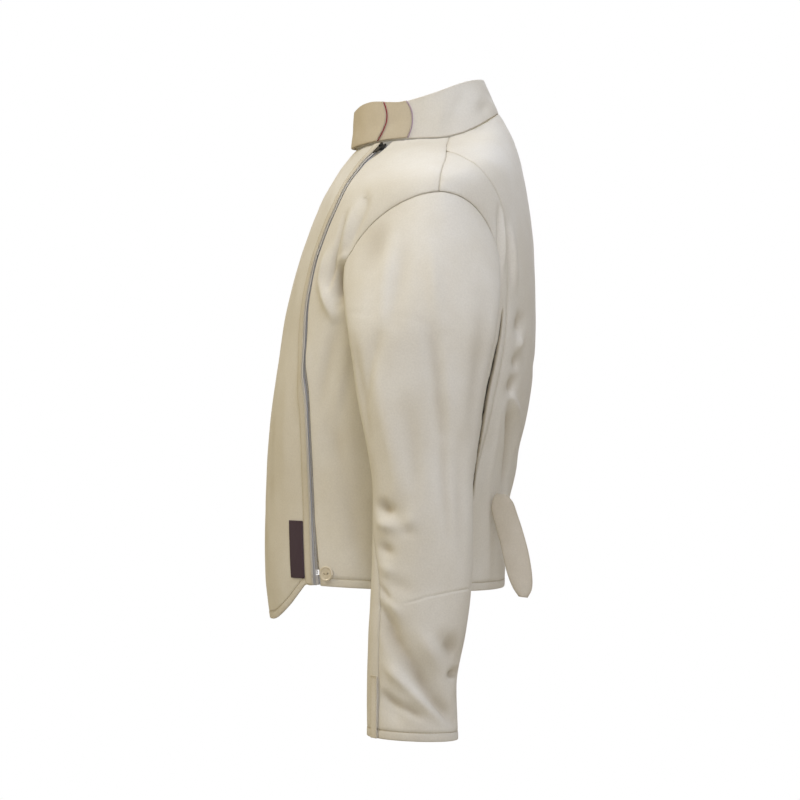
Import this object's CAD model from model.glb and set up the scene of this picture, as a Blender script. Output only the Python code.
# %% [markdown]
# A fencing jacket, worn but with no wearer in it. It is sewn from thick cotton gabardine, a dense diagonal weave, so
# it stands away from the body in broad soft folds. Each cloth piece below is cut again from the same surfaces as the
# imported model, in cells of about 3 mm, and gets its seams, hems, stitches and creases there. First comes the frame.

import bmesh
import bpy
import numpy as np
from mathutils import Matrix, Vector


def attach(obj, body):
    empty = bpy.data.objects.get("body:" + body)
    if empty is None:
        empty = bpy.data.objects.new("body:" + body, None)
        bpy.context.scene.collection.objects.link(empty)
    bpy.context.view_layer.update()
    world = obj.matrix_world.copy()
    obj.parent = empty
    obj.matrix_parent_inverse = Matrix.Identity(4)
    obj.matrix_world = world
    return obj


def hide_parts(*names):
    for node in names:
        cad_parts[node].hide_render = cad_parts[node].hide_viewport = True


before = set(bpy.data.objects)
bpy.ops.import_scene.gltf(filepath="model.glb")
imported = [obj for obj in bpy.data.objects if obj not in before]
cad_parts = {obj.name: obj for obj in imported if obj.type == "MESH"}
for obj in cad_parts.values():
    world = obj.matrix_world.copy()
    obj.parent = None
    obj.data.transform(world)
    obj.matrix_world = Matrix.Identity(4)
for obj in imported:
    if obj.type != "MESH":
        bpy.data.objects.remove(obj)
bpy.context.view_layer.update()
print("CAD nodes:", ", ".join(sorted(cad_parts)))

# %% [markdown]
# The photograph was taken level with the jacket's middle, square to the wearer's left side, from about 3.2 m. A long
# lens keeps both sleeves nearly the same size. Width across the frame at the jacket's middle gives the lens.

# %% The camera at the photograph's place
CAMERA_AWAY = 3.2
CAMERA_PLACE = (CAMERA_AWAY, -0.045, -0.291)
FRAME_WIDTH = 0.896  # metres across the 800 pixels, at the jacket's middle
camera_data = bpy.data.cameras.new("photo_camera")
camera_data.sensor_width = 36
camera_data.lens = 36 * CAMERA_AWAY / FRAME_WIDTH
camera = bpy.data.objects.new("photo_camera", camera_data)
camera.location = CAMERA_PLACE
camera.rotation_euler = (np.pi / 2, 0, np.pi / 2)
bpy.context.scene.collection.objects.link(camera)
bpy.context.scene.camera = camera
print("lens", round(camera_data.lens, 1), "mm")

# %% [markdown]
# Tables hold the sizes, and one smooth curve runs through each column. That way a ring, a seam or a collar is a few
# rows that a tailor could read, and the cloth between them is as fine as wanted.

# %% Tables and smooth curves
def columns(names, rows):
    """The table's columns by name, as arrays."""
    return {name: np.array([row[i] for row in rows], float) for i, name in enumerate(names.split())}


def smooth(knots, values, at):
    """A cubic curve through the table's values, level past its ends."""
    knots, values, at = np.asarray(knots, float), np.asarray(values, float), np.asarray(at, float)
    at = np.clip(at, knots[0], knots[-1])
    slopes = np.gradient(values, knots)
    i = np.clip(np.searchsorted(knots, at, side="right") - 1, 0, len(knots) - 2)
    width = knots[i + 1] - knots[i]
    t = (at - knots[i]) / width
    return (
        (2 * t**3 - 3 * t**2 + 1) * values[i]
        + (t**3 - 2 * t**2 + t) * width * slopes[i]
        + (3 * t**2 - 2 * t**3) * values[i + 1]
        + (t**3 - t**2) * width * slopes[i + 1]
    )


def seam_line(line, at):
    """The angle of a seam at a level, in radians."""
    return np.radians(smooth([row[0] for row in line], [row[1] for row in line], at))


def normals(form, first, second):
    """Unit normals of a surface form(first, second), by small steps each way."""
    step = 1e-3
    along = form(first + step, second) - form(first - step, second)
    up = form(first, second + step) - form(first, second - step)
    found = np.cross(along, up)
    return found / np.linalg.norm(found, axis=-1, keepdims=True)


# %% [markdown]
# The body of the jacket is one surface round an invisible chest. Its rings are given from below the hem up to the
# neck, and over the shoulders the front and back of a ring lie at different heights.

# %% The body's surface
FRONT_HEM, BACK_HEM = -0.487, -0.498
TONGUE_DROP, TONGUE_HALF_WIDTH = 0.046, 0.134
ARMPIT_LEVEL, TIP_LEVEL, PRINCESS_TOP, NECK_LEVEL = -0.215, -0.088, -0.004, 0.045
MEAN_RADIUS = 0.165
TORSO = columns(
    "level half_width y_side y_front y_back z_side z_front z_back square",
    [
        (-0.560, 0.168, -0.052, -0.186, 0.068, -0.560, -0.560, -0.560, 2.20),
        (-0.490, 0.168, -0.052, -0.195, 0.072, -0.490, -0.490, -0.490, 2.25),
        (-0.395, 0.160, -0.050, -0.195, 0.078, -0.395, -0.395, -0.395, 2.25),
        (-0.300, 0.165, -0.040, -0.188, 0.098, -0.300, -0.300, -0.300, 2.30),
        (-0.215, 0.170, -0.028, -0.176, 0.106, -0.215, -0.215, -0.215, 2.35),
        (-0.145, 0.184, -0.018, -0.159, 0.104, -0.140, -0.142, -0.120, 2.20),
        (-0.080, 0.193, -0.004, -0.134, 0.094, -0.064, -0.072, -0.045, 1.80),
        (-0.020, 0.132, 0.004, -0.115, 0.083, -0.028, -0.038, -0.004, 1.85),
        (0.045, 0.068, -0.010, -0.095, 0.066, -0.004, -0.012, 0.029, 2.00),
    ],
)


def torso_form(angle, level):
    """The body's surface with no folds: 0 is the centre front and 90 degrees the wearer's left side."""
    angle, level = np.broadcast_arrays(np.asarray(angle, float), np.asarray(level, float))
    ring = {name: smooth(TORSO["level"], values, level) for name, values in TORSO.items()}
    power = 2 / ring["square"]
    front = np.cos(angle) > 0
    x = ring["half_width"] * np.sign(np.sin(angle)) * np.abs(np.sin(angle)) ** power
    reach = np.where(front, ring["y_front"], ring["y_back"]) - ring["y_side"]
    y = ring["y_side"] + reach * np.abs(np.cos(angle)) ** power
    rise = np.where(front, ring["z_front"], ring["z_back"]) - ring["z_side"]
    z = ring["z_side"] + rise * np.cos(angle) ** 2
    return np.stack([x, y, z], axis=-1)


# %% [markdown]
# Thick cloth creases where the wearer bends: at the front of the armhole, in the small of the back, inside the elbow
# and above the cuff. Each row below is one crease between two places, with its half width and its depth; a negative
# depth is a ridge. They are uneven in length and depth, as real ones are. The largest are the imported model's own.

# %% The folds and creases of the body
CREASE_COLUMNS = "angle_1 level_1 angle_2 level_2 width depth"
TORSO_FOLDS = [
    (152, -0.303, 160, -0.392, 0.020, 0.0050), (-158, -0.318, -150, -0.405, 0.022, 0.0045),
    (140, -0.190, 158, -0.262, 0.016, 0.0028), (-138, -0.205, -160, -0.250, 0.018, 0.0030),
    (178, -0.340, 186, -0.425, 0.020, 0.0030), (-58, -0.200, -40, -0.330, 0.022, 0.0036),
    (-74, -0.300, -62, -0.440, 0.020, 0.0032), (20, -0.170, 4, -0.260, 0.024, 0.0026),
    (66, -0.250, 60, -0.370, 0.016, 0.0028), (-20, -0.350, -8, -0.450, 0.026, 0.0024),
]
TORSO_CREASES = [
    # front of the left armhole, then its mirror on the hidden side, a little different
    (44, -0.104, 47, -0.129, 0.0038, 0.0045), (46, -0.126, 49, -0.172, 0.0042, 0.0063),
    (48, -0.096, 52.5, -0.139, 0.0062, -0.0051), (52.5, -0.153, 57.5, -0.184, 0.0086, 0.0150),
    (50, -0.1475, 56, -0.1425, 0.0034, -0.0039), (41, -0.135, 43, -0.166, 0.0060, -0.0045),
    (43, -0.166, 56, -0.203, 0.0058, -0.0054), (51, -0.083, 55.5, -0.100, 0.0045, 0.0030),
    (55.5, -0.100, 55.5, -0.132, 0.0040, 0.0024), (58, -0.215, 54, -0.300, 0.0090, 0.0030),
    (66, -0.225, 62, -0.330, 0.0080, -0.0024), (45, -0.225, 42, -0.300, 0.0090, -0.0024),
    (-45, -0.110, -48, -0.158, 0.0045, 0.0054), (-49, -0.102, -51, -0.146, 0.0066, -0.0045),
    (-56, -0.160, -60, -0.192, 0.0085, 0.0102), (-61, -0.126, -55, -0.152, 0.0045, 0.0027),
    (-43, -0.160, -54, -0.206, 0.0062, -0.0045), (-60, -0.222, -55, -0.310, 0.0090, 0.0027),
    # back of the armholes
    (131, -0.108, 127, -0.165, 0.0042, 0.0039), (136, -0.122, 137, -0.172, 0.0042, 0.0045),
    (133.5, -0.112, 131, -0.160, 0.0038, -0.0027), (140, -0.130, 141, -0.178, 0.0048, -0.0027),
    (-131, -0.116, -128, -0.158, 0.0042, 0.0033), (-136, -0.128, -135, -0.175, 0.0044, 0.0033),
    # across the small of the back
    (148, -0.208, 143, -0.212, 0.0085, 0.0065), (146, -0.246, 141, -0.249, 0.0080, 0.0055),
    (145, -0.270, 140, -0.278, 0.0090, 0.0075), (150, -0.226, 144, -0.232, 0.0065, -0.0040),
    (145, -0.288, 158, -0.314, 0.0048, -0.0048), (158, -0.314, 163, -0.350, 0.0045, -0.0036),
    (144, -0.302, 152, -0.338, 0.0088, 0.0095), (151, -0.334, 160, -0.388, 0.0092, 0.0105),
    (170, -0.352, 178, -0.398, 0.0080, -0.0026), (136, -0.300, 139, -0.380, 0.0060, -0.0020),
    (-150, -0.200, -141, -0.212, 0.0075, 0.0054), (-152, -0.236, -141, -0.242, 0.0080, 0.0060),
    (-150, -0.216, -143, -0.226, 0.0060, -0.0033), (-150, -0.298, -161, -0.330, 0.0060, -0.0039),
    (-144, -0.312, -154, -0.352, 0.0068, 0.0060), (-153, -0.348, -166, -0.396, 0.0070, 0.0063),
    (-131, -0.225, -129, -0.340, 0.0042, 0.0039), (184, -0.268, 196, -0.292, 0.0110, 0.0027),
    (172, -0.236, 182, -0.262, 0.0100, 0.0015), (205, -0.388, 196, -0.436, 0.0090, 0.0018),
    # the fronts' long soft folds down to the hem
    (62, -0.320, 70, -0.372, 0.0110, 0.0024), (72, -0.390, 78, -0.456, 0.0110, 0.0018),
    (82, -0.330, 86, -0.420, 0.0120, -0.0018), (-34, -0.360, -44, -0.452, 0.0120, 0.0021),
    (-86, -0.250, -80, -0.330, 0.0110, 0.0021), (-78, -0.350, -84, -0.440, 0.0120, -0.0018),
    (30, -0.260, 36, -0.380, 0.0160, -0.0021), (12, -0.300, 20, -0.420, 0.0150, 0.0018),
    (-6, -0.120, -22, -0.190, 0.0130, 0.0021), (-26, -0.080, -38, -0.130, 0.0100, 0.0018),
    (24, -0.060, 30, -0.110, 0.0090, -0.0014), (8, -0.420, 16, -0.500, 0.0140, 0.0015),
]
# the deep narrow fold behind each arm, where the cloth is pressed together
NARROW_FOLDS = [
    (130.3, -0.198, 127.9, -0.239, 0.0018, 0.0036), (128.0, -0.233, 125.9, -0.278, 0.0024, 0.0040),
    (126.0, -0.268, 125.5, -0.310, 0.0024, 0.0040), (125.5, -0.296, 126.7, -0.348, 0.0018, 0.0036),
    (126.5, -0.334, 128.4, -0.396, 0.0014, 0.0032),
    (-129.8, -0.196, -126.4, -0.262, 0.0017, 0.0030), (-126.5, -0.254, -127.0, -0.338, 0.0015, 0.0026),
]


def crease_depth(creases, angle, level, radius):
    """How far in the table's creases lie here. Each runs straight from one place to another, deepest midway."""
    depth = np.zeros(np.broadcast(angle, level).shape)
    for angle_1, level_1, angle_2, level_2, width, deep in creases:
        turn = np.remainder(angle - np.radians(angle_1) + np.pi, 2 * np.pi) - np.pi
        across, up = turn * radius, level - level_1
        run = np.array([np.radians(angle_2 - angle_1) * radius, level_2 - level_1])
        t = np.clip((across * run[0] + up * run[1]) / (run @ run), 0, 1)
        away = np.hypot(across - t * run[0], up - t * run[1])
        depth += deep * (0.35 + 0.65 * np.sin(np.pi * t)) * np.exp(-((away / width) ** 2))
    return depth


def waves(points, size, seed):
    """A smooth uneven ripple between about -1 and 1, the sum of waves of different lengths and directions."""
    total = np.zeros(points.shape[:-1])
    for k in range(7):
        turn, tilt = seed + 2.4 * k, 0.35 * np.sin(seed * 3 + 1.3 * k)
        direction = np.array([np.cos(turn) * np.cos(tilt), np.sin(turn) * np.cos(tilt), np.sin(tilt) + 0.25])
        total += np.sin(points @ direction * 2 * np.pi / (size * (0.75 + 0.12 * k)) + 3.1 * k)
    return total / 3.5


def torso(angle, level, out=0.0):
    """Points on the body's cloth, moved out by a distance."""
    angle, level = np.broadcast_arrays(np.asarray(angle, float), np.asarray(level, float))
    form = torso_form(angle, level)
    away = out - crease_depth(TORSO_FOLDS, angle, level, MEAN_RADIUS)
    away = away - crease_depth(TORSO_CREASES + NARROW_FOLDS, angle, level, MEAN_RADIUS)
    away = away + 0.0005 * waves(form, 0.070, 1.0) + 0.00018 * waves(form, 0.026, 2.0)
    return form + np.asarray(away)[..., None] * normals(torso_form, angle, level)


# %% [markdown]
# The seams are lines on that surface. The zip lies far round to the left, the side seam is under the arm, and at the
# back a princess seam curves from the hem up to the shoulder seam. The armhole is an oval between them.

# %% The seam lines
ZIP_LINE = [
    (-0.560, 56.5), (-0.490, 55.7), (-0.398, 53.3), (-0.300, 47.0), (-0.236, 40.5), (-0.180, 35.0),
    (-0.130, 33.3), (-0.088, 34.0), (-0.050, 35.5), (-0.017, 39.0), (0.018, 46.0), (0.045, 50.5),
]
SIDE_LINE = [(-0.560, 93.0), (-0.300, 92.0), (-0.215, 91.0)]
SHOULDER_LINE = [(-0.088, 91.0), (-0.060, 89.0), (-0.004, 92.5), (0.045, 104.5)]
PRINCESS_LINE = [
    (-0.560, 125.0), (-0.450, 126.5), (-0.340, 129.0), (-0.260, 131.5), (-0.190, 134.0), (-0.136, 134.5),
    (-0.100, 132.5), (-0.078, 126.5), (-0.035, 109.5), (-0.004, 92.8),
]
ARMHOLE_MIDDLE, ARMHOLE_AHEAD, ARMHOLE_BEHIND = 91.0, 35.0, 36.0
SIDE_BACK_TIP = 0.0012
SEAM_GAP = 0.0003  # the sewn edges nearly touch
ZIP_CHANNEL = [(-0.560, 0.0105), (-0.480, 0.0100), (-0.420, 0.0055), (-0.020, 0.0055), (0.005, 0.0120), (0.045, 0.0120)]


def hem_level(angle):
    """The hem's height round the body, with the tongue that runs down in front."""
    side = np.abs(torso_form(angle, FRONT_HEM)[..., 0])
    tongue = TONGUE_DROP * np.clip(1 - (side / TONGUE_HALF_WIDTH) ** 4, 0, None) * (np.cos(angle) > 0)
    return FRONT_HEM + (BACK_HEM - FRONT_HEM) * (1 - np.cos(angle)) / 2 - tongue


def armhole(turn):
    """Angle and level of the left armhole at a turn: 0 at the shoulder tip, 90 degrees in front, 180 in the armpit."""
    middle, reach = (TIP_LEVEL + ARMPIT_LEVEL) / 2, (TIP_LEVEL - ARMPIT_LEVEL) / 2
    ahead = np.where(np.sin(turn) > 0, ARMHOLE_AHEAD, ARMHOLE_BEHIND)
    return np.radians(ARMHOLE_MIDDLE - ahead * np.sin(turn)), middle + reach * np.cos(turn)


def outer_edge(level, side):
    """Angle of a front's outer edge (side 1), or of the side back's (side -1): side seam, armhole, shoulder seam."""
    middle, reach = (TIP_LEVEL + ARMPIT_LEVEL) / 2, (TIP_LEVEL - ARMPIT_LEVEL) / 2
    hole = armhole(side * np.arccos(np.clip((level - middle) / reach, -1, 1)))[0]
    seam = np.where(level <= ARMPIT_LEVEL, seam_line(SIDE_LINE, level), seam_line(SHOULDER_LINE, level))
    return np.where((level > ARMPIT_LEVEL) & (level < TIP_LEVEL), hole, seam)


def back_edge(level):
    """Angle of the back's edge: the princess seam, then the shoulder seam above its top."""
    tip = outer_edge(level, -1) + (1.5 * SEAM_GAP + SIDE_BACK_TIP) / MEAN_RADIUS
    princess = np.maximum(seam_line(PRINCESS_LINE, level), tip)
    return np.where(level <= PRINCESS_TOP + 1e-6, princess, seam_line(SHOULDER_LINE, level))


def zip_channel(level):
    """Width of the opening between the two fronts in which the zip shows."""
    return np.interp(level, [row[0] for row in ZIP_CHANNEL], [row[1] for row in ZIP_CHANNEL])


def beside(line, level, away):
    """The angle at a distance from a seam line, measured along the cloth towards the wearer's left."""
    level = np.asarray(level, float)
    start = seam_line(line, level)
    found = start
    for _ in range(2):
        middle = (start + found) / 2
        spread = np.linalg.norm(torso_form(middle + 1e-3, level) - torso_form(middle - 1e-3, level), axis=-1)
        found = start + away / (spread / 2e-3)
    return found


# %% [markdown]
# Cloth is a closed wall. A grid of faces is extruded once for the inside, then every corner is put on the outer or
# the inner surface. Near an edge the two come together in a round fold. Along a seam the cloth also dips, and puckers
# a little where the thread pulls it; a hem is a double layer with a groove where it is stitched. Lengths along the
# cloth become the UV map "cut", in metres, so the weave keeps its size, and "soil" marks where hands and seams grey it.

# %% Cutting and sewing cloth
CELL = 0.0032
CLOTH = 0.0020
EDGE_RADIUS = 0.0011
CREASE_SOIL = 75.0  # how much a crease greys for each metre of its depth
FOLD_SHADE = 640.0  # the same for the dark inside of a narrow fold
SEAM_DIP, SEAM_SPREAD = 0.00055, 0.0042
HEM_STITCH = 0.0088


def cut_lines(length, cell=CELL, stitch=None):
    """Places from 0 to 1 across a piece: close at both edges, where the cloth rolls, and at a row of stitches."""
    edge = np.array([0, 0.0002, 0.0006, 0.0011, 0.0020, 0.0034])
    start = edge if stitch is None else np.concatenate([edge, [0.0055], stitch + np.array([-0.0010, -0.0005, 0, 0.0005, 0.0010])])
    first, last = start[-1] / length, 1 - edge[-1] / length
    middle = np.linspace(first, last, max(3, int(round(length / cell))))
    return np.concatenate([start[:-1] / length, middle, 1 - edge[:-1][::-1] / length])


def arc_lengths(points):
    """Distances along each row and up each column of a grid."""
    across, up = np.zeros(points.shape[:2]), np.zeros(points.shape[:2])
    across[:, 1:] = np.cumsum(np.linalg.norm(np.diff(points, axis=1), axis=-1), axis=1)
    up[1:] = np.cumsum(np.linalg.norm(np.diff(points, axis=0), axis=-1), axis=0)
    return across, up


def wall(name, outer, inner, cut, soil):
    """A closed wall of cloth between two grids of points, with its UV map and its soiling."""
    rows, across = outer.shape[:2]
    bm = bmesh.new()
    bmesh.ops.create_grid(bm, x_segments=across - 1, y_segments=rows - 1, size=1)
    place = bm.verts.layers.int.new("place")
    for vert in bm.verts:
        vert[place] = round((vert.co.y + 1) / 2 * (rows - 1)) * across + round((vert.co.x + 1) / 2 * (across - 1))
    made = bmesh.ops.extrude_face_region(bm, geom=bm.faces[:], use_keep_orig=True)
    inside = {item for item in made["geom"] if isinstance(item, bmesh.types.BMVert)}
    for vert in bm.verts:
        row, column = divmod(vert[place], across)
        vert.co = (inner if vert in inside else outer)[row, column]
    bmesh.ops.recalc_face_normals(bm, faces=bm.faces)
    if bm.calc_volume(signed=True) < 0:
        bmesh.ops.reverse_faces(bm, faces=bm.faces)
    mesh = bpy.data.meshes.new(name)
    bm.to_mesh(mesh)
    bm.free()
    corner = np.empty(len(mesh.loops), np.int32)
    mesh.loops.foreach_get("vertex_index", corner)
    at = np.empty(len(mesh.vertices), np.int32)
    mesh.attributes["place"].data.foreach_get("value", at)
    mesh.attributes.remove(mesh.attributes["place"])
    mesh.uv_layers.new(name="cut").data.foreach_set("uv", cut.reshape(-1, 2)[at][corner].astype(np.float32).ravel())
    mesh.attributes.new("soil", "FLOAT", "POINT").data.foreach_set("value", soil.ravel()[at].astype(np.float32))
    mesh.polygons.foreach_set("use_smooth", np.ones(len(mesh.polygons), bool))
    made = bpy.data.objects.new(name, mesh)
    bpy.context.scene.collection.objects.link(made)
    return made


def sewn(name, surface, shape, edges, thick=CLOTH, out=0.0, soiled=0.0, crisp=1.0):
    """Cuts one piece from surface(out), a grid of points. Edges names what is left, right, bottom and top:
    a seam, a hem, a fold, or nothing."""
    level_surface = surface(np.full(shape, out))
    across, up = arc_lengths(level_surface)
    near = {"left": across, "right": across[:, -1:] - across, "bottom": up, "top": up[-1:] - up}
    nearest = np.minimum.reduce(list(near.values()))
    inward = np.clip(nearest / min(EDGE_RADIUS, thick * 0.6), 0, 1)
    rounding = thick / 2 * (1 - np.sqrt(1 - (1 - inward) ** 2))
    pucker = 1 + 0.55 * waves(level_surface, 0.017, 4.0)
    shift, soil = np.zeros(shape), np.full(shape, soiled)
    for side, kind in zip(near, edges):
        distance = near[side]
        if kind == "seam":
            shift -= crisp * SEAM_DIP * pucker * np.exp(-((distance / SEAM_SPREAD) ** 2))
            soil += 0.30 * np.exp(-((distance / 0.0013) ** 2)) + 0.08 * np.exp(-distance / 0.010)
        if kind == "hem":
            shift += 0.00030 * (distance < HEM_STITCH) * (1 + 0.4 * waves(level_surface, 0.024, 6.0))
            shift -= 0.00075 * np.exp(-(((distance - HEM_STITCH) / 0.0007) ** 2))
            soil += 0.35 * np.exp(-distance / 0.0022) + 0.40 * np.exp(-(((distance - HEM_STITCH) / 0.0009) ** 2))
        if kind == "fold":
            soil += 0.30 * np.exp(-distance / 0.0016)
    cut = np.stack([across - across[:, across.shape[1] // 2, None], up], axis=-1)
    made = wall(name, surface(out + shift - rounding), surface(out + shift - thick + rounding), cut, np.clip(soil, 0, 2))
    return made


def body_piece(name, left, right, width, edges, top=NECK_LEVEL, soiled=0.0, cell=CELL):
    """A panel of the body between two seams, each the angle of a level, from the hem up to a level."""
    share = cut_lines(width, cell)
    turns = np.linspace(np.pi, 0, 62)
    above = list(armhole(turns)[1][1:]) + list(np.linspace(TIP_LEVEL, PRINCESS_TOP, 30)[1:])
    above += list(np.linspace(PRINCESS_TOP, NECK_LEVEL, 18)[1:-1]) + [0.0435, 0.0443, 0.0447, NECK_LEVEL]
    above = [level for level in above if level <= top + 1e-9]
    lower = cut_lines(0.280, stitch=HEM_STITCH)
    rows = []
    for step in lower[lower <= 1 - 0.0040 / 0.280]:
        level = np.full(share.shape, FRONT_HEM + (ARMPIT_LEVEL - FRONT_HEM) * step)
        for _ in range(4):
            angle = left(level) + (right(level) - left(level)) * share
            level = hem_level(angle) + (ARMPIT_LEVEL - hem_level(angle)) * step
        rows.append((angle, level))
    for level in [ARMPIT_LEVEL, *above]:
        level = np.full(share.shape, level)
        rows.append((left(level) + (right(level) - left(level)) * share, level))
    angle, level = np.array([row[0] for row in rows]), np.array([row[1] for row in rows])
    worn = soiled + CREASE_SOIL * np.clip(crease_depth(TORSO_CREASES, angle, level, MEAN_RADIUS), 0, None)
    worn = worn + FOLD_SHADE * crease_depth(NARROW_FOLDS, angle, level, MEAN_RADIUS)
    return sewn(name, lambda out: torso(angle, level, out), angle.shape, edges, soiled=worn)


# %% [markdown]
# The right front is the widest piece: it reaches across the chest to the zip, and its lower edge runs down in a
# rounded tongue, which goes inside the breeches. The left front, the back and the two side backs complete the body.

# %% The five pieces of the body
half = SEAM_GAP / 2 / MEAN_RADIUS
pieces = {}
pieces["front_right"] = body_piece(
    "front_right_cloth", lambda at: half - outer_edge(at, 1), lambda at: seam_line(ZIP_LINE, at), 0.360,
    ("seam", "fold", "hem", "seam"), soiled=0.10,
)
pieces["front_left"] = body_piece(
    "front_left_cloth", lambda at: beside(ZIP_LINE, at, zip_channel(at)), lambda at: outer_edge(at, 1) - half, 0.110,
    ("fold", "seam", "hem", "seam"),
)
pieces["back"] = body_piece(
    "back_cloth", lambda at: back_edge(at) + half, lambda at: 2 * np.pi - back_edge(at) - half, 0.260,
    ("seam", "seam", "hem", "seam"),
)
pieces["side_back_left"] = body_piece(
    "side_back_left_cloth", lambda at: outer_edge(at, -1) + half, lambda at: back_edge(at) - half, 0.080,
    ("seam", "seam", "hem", "seam"), top=PRINCESS_TOP, cell=0.0013,
)
pieces["side_back_right"] = body_piece(
    "side_back_right_cloth", lambda at: half - back_edge(at), lambda at: -outer_edge(at, -1) - half, 0.080,
    ("seam", "seam", "hem", "seam"), top=PRINCESS_TOP, cell=0.0013,
)

# %% [markdown]
# A sleeve is two pieces, an upper and an under one. They start from the armhole's own points, leave the body there in
# a rounded cap, and run down through rings to the cuff. The arm is slightly bent, so creases cross it inside the
# elbow and pile up above the cuff, and a short dart takes in the cloth over the elbow.

# %% The sleeves' surface, folds and creases
ARM = columns(
    "level x_centre half_width y_centre half_depth",
    [
        (-0.238, 0.2230, 0.0465, -0.0225, 0.0725), (-0.292, 0.2290, 0.0450, -0.0236, 0.0630),
        (-0.332, 0.2330, 0.0440, -0.0226, 0.0560), (-0.372, 0.2370, 0.0425, -0.0215, 0.0505),
        (-0.412, 0.2400, 0.0415, -0.0213, 0.0500), (-0.474, 0.2445, 0.0405, -0.0225, 0.0498),
        (-0.537, 0.2480, 0.0400, -0.0280, 0.0480), (-0.577, 0.2505, 0.0385, -0.0322, 0.0445),
        (-0.640, 0.2545, 0.0390, -0.0320, 0.0450),
    ],
)
CAP = columns(
    "turn into_hole off_cloth down pull",
    [
        (0, 1.00, 0.30, 0.05, 1.0), (90, 0.30, 0.60, 0.60, 0.5), (135, 0.60, 0.90, 0.10, 0.7),
        (165, 0.85, 0.90, 0.0, 0.9), (180, 0.85, 0.90, 0.0, 0.9),
    ],
)
ARM_RADIUS = 0.050
EASED_BY = 0.15  # where down the cap the cloth has come out by its own thickness, to leave the arm its room
CUFF_LEVEL, CUFF_TILT = -0.6385, 0.0020
FRONT_SLEEVE_SEAM = [(0.0, 105), (1.0, 105), (1.15, 104), (1.43, 88), (1.58, 62), (1.72, 53), (2.0, 50)]
BACK_SLEEVE_SEAM = [(0.0, 255), (1.0, 255), (2.0, 254)]
SLEEVE_FOLDS = [
    (24, -0.150, 62, -0.292, 0.013, 0.0026), (-10, -0.190, -24, -0.400, 0.012, 0.0018),
    (48, -0.402, 6, -0.418, 0.009, 0.0030), (50, -0.505, 10, -0.545, 0.011, 0.0040),
    (10, -0.545, -46, -0.606, 0.011, 0.0048), (40, -0.600, 8, -0.620, 0.009, 0.0034),
    (200, -0.390, 150, -0.430, 0.013, 0.0034), (230, -0.470, 170, -0.500, 0.011, 0.0026),
    (215, -0.560, 165, -0.590, 0.011, 0.0030),
]
SLEEVE_CREASES = [
    # the long soft lines down the upper arm
    (44, -0.100, 52, -0.150, 0.0100, 0.0054), (35.5, -0.100, 34.5, -0.216, 0.0050, -0.0032),
    (26, -0.120, 24, -0.210, 0.0060, 0.0026), (34, -0.214, 60, -0.292, 0.0050, 0.0029),
    (4, -0.130, -14, -0.215, 0.0055, -0.0029), (-5, -0.215, -13, -0.266, 0.0046, 0.0032),
    (-12, -0.258, -21, -0.326, 0.0046, 0.0038), (-20, -0.320, -29, -0.430, 0.0046, 0.0032),
    (-20, -0.240, -31, -0.340, 0.0055, -0.0029), (44, -0.250, 30, -0.380, 0.0090, -0.0032),
    (12, -0.290, 8, -0.390, 0.0070, 0.0022), (-52, -0.180, -60, -0.330, 0.0100, 0.0035),
    (-44, -0.330, -50, -0.450, 0.0080, 0.0022), (70, -0.230, 66, -0.330, 0.0070, 0.0026),
    # faint pressed lines across it
    (75, -0.200, 39, -0.201, 0.0016, 0.0006), (29, -0.201, -8, -0.213, 0.0016, 0.0008),
    # inside the elbow
    (62, -0.400, 40, -0.404, 0.0064, 0.0074), (26, -0.410, 6, -0.418, 0.0090, -0.0042),
    (62, -0.418, 36, -0.421, 0.0058, -0.0051), (60, -0.441, 38, -0.447, 0.0060, 0.0048),
    (24, -0.424, 12, -0.428, 0.0055, 0.0019), (56, -0.462, 36, -0.468, 0.0060, -0.0029),
    (40, -0.476, 10, -0.486, 0.0080, 0.0019),
    # from the front seam down to the back of the forearm
    (56, -0.482, 34, -0.500, 0.0040, 0.0029), (53, -0.503, 27, -0.526, 0.0042, 0.0035),
    (45, -0.492, 22, -0.512, 0.0045, -0.0026), (44, -0.521, 8, -0.558, 0.0075, 0.0064),
    (10, -0.556, -30, -0.598, 0.0080, 0.0074), (-26, -0.595, -64, -0.619, 0.0075, 0.0070),
    (35, -0.563, 8, -0.583, 0.0060, -0.0051), (9, -0.582, -36, -0.616, 0.0062, -0.0048),
    (41, -0.592, 13, -0.604, 0.0050, 0.0051), (14, -0.603, -12, -0.614, 0.0048, 0.0042),
    (-34, -0.536, -64, -0.553, 0.0100, 0.0074), (-54, -0.572, -78, -0.572, 0.0042, 0.0083),
    (-60, -0.588, -80, -0.590, 0.0060, -0.0012), (-6, -0.531, -28, -0.560, 0.0080, -0.0042),
    # the side next to the body
    (140, -0.300, 170, -0.330, 0.0070, 0.0022), (205, -0.404, 150, -0.440, 0.0050, 0.0026),
    (225, -0.436, 160, -0.462, 0.0060, -0.0022), (232, -0.486, 175, -0.520, 0.0050, 0.0022),
    (218, -0.574, 168, -0.604, 0.0050, 0.0022), (120, -0.560, 160, -0.590, 0.0060, 0.0022),
]
ELBOW_DART = [(17.7, -0.499, -6.2, -0.492), (-6.2, -0.492, -38.0, -0.487), (-38.0, -0.487, -72.0, -0.485)]


def arm_ring(around, level):
    """The full sleeve's surface with no folds: 0 is its outer side, 90 degrees its front."""
    ring = {name: smooth(-ARM["level"], values, -level) for name, values in ARM.items()}
    x = ring["x_centre"] + ring["half_width"] * np.cos(around)
    y = ring["y_centre"] - ring["half_depth"] * np.sin(around)
    return np.stack(np.broadcast_arrays(x, y, level), axis=-1)


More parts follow.
